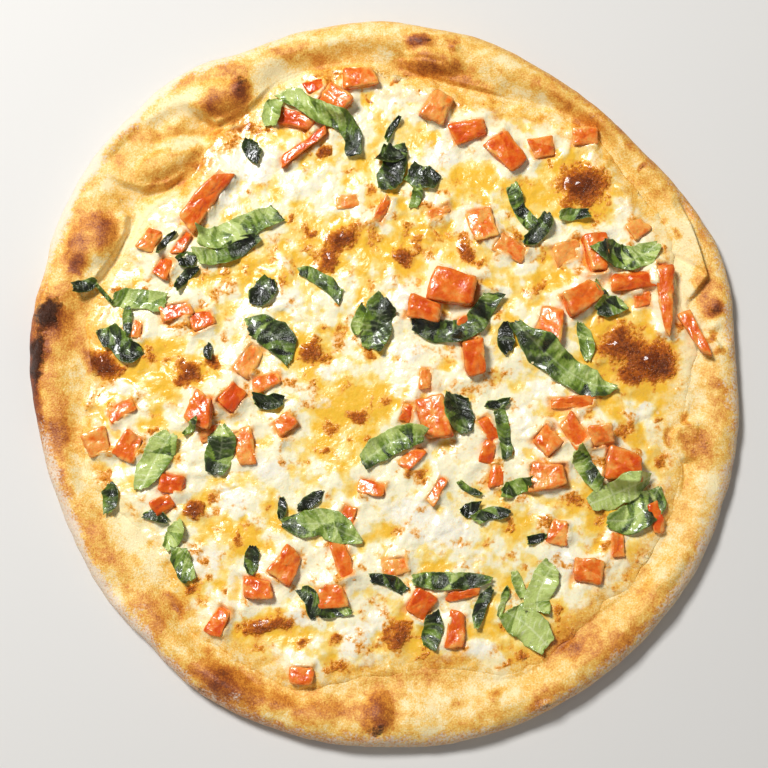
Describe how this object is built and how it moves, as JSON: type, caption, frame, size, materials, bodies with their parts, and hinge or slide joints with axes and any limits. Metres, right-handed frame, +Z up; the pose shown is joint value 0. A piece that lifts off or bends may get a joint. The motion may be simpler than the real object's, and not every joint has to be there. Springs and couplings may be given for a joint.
{
  "type": "caprese pizza",
  "caption": "Whole uncut caprese pizza: an uneven baked crust with folds and blisters, browned melted cheese, diced tomato and torn basil.",
  "frame": {"origin": "under the middle of the pizza's box, on the surface that it rests on", "axes": "+Z up; +X to the right and +Y to the top of the picture, which looks almost straight down"},
  "size_m": [0.313, 0.322, 0.0219],
  "materials": {
    "dough": "baked dough, pale gold with browned and floury places, dry and matte",
    "cheese": "melted cheese, creamy white with golden and brown spots, moist",
    "tomato": "cooked tomato flesh, orange red and wet",
    "basil": "basil leaf, dark green above and pale green beneath, satin"
  },
  "bodies": {
    "root": {"basil_bottom_right_leaf": "basil", "basil_bottom_right_ribbon": "basil", "basil_centre_leaf": "basil", "basil_centre_ribbon": "basil", "basil_cluster_fan": "basil", "basil_far_left_leaf": "basil", "basil_far_left_ribbon": "basil", "basil_left_curl": "basil", "basil_left_leaf": "basil", "basil_left_pair": "basil", "basil_left_ribbon": "basil", "basil_left_underfold": "basil", "basil_long_leaf": "basil", "basil_lower_leaf": "basil", "basil_lower_left_big": "basil", "basil_lower_left_tall": "basil", "basil_middle_leaf": "basil", "basil_middle_roll": "basil", "basil_middle_strip": "basil", "basil_right_half_dark": "basil", "basil_right_half_pale": "basil", "basil_right_leaf": "basil", "basil_right_strip": "basil", "basil_top_fold": "basil", "basil_top_leaf": "basil", "basil_top_ribbon": "basil", "basil_top_triangle": "basil", "basil_under_tomato": "basil", "basil_upper_right_curl": "basil", "basil_upper_right_leaf": "basil", "cheese": "cheese", "crust": "dough", "tomato_bottom_dome": "tomato", "tomato_bottom_wedge": "tomato", "tomato_centre_block": "tomato", "tomato_centre_post": "tomato", "tomato_centre_slab": "tomato", "tomato_left_dark": "tomato", "tomato_left_pair": "tomato", "tomato_left_strip": "tomato", "tomato_middle_tall": "tomato", "tomato_right_bar": "tomato", "tomato_right_big": "tomato", "tomato_right_cube": "tomato", "tomato_right_lean": "tomato", "tomato_right_ribbed": "tomato", "tomato_right_round": "tomato", "tomato_right_slab": "tomato", "tomato_right_sliver": "tomato", "tomato_right_tall": "tomato", "tomato_right_upper": "tomato", "tomato_right_wedge": "tomato", "tomato_top_block": "tomato", "tomato_top_seeded": "tomato", "tomato_top_slab": "tomato", "tomato_top_strip": "tomato", "tomato_upper_cube": "tomato", "tomato_upper_round": "tomato", "tomato_upper_tall": "tomato", "tomato_upper_wedge": "tomato"}
  },
  "joints": []
}
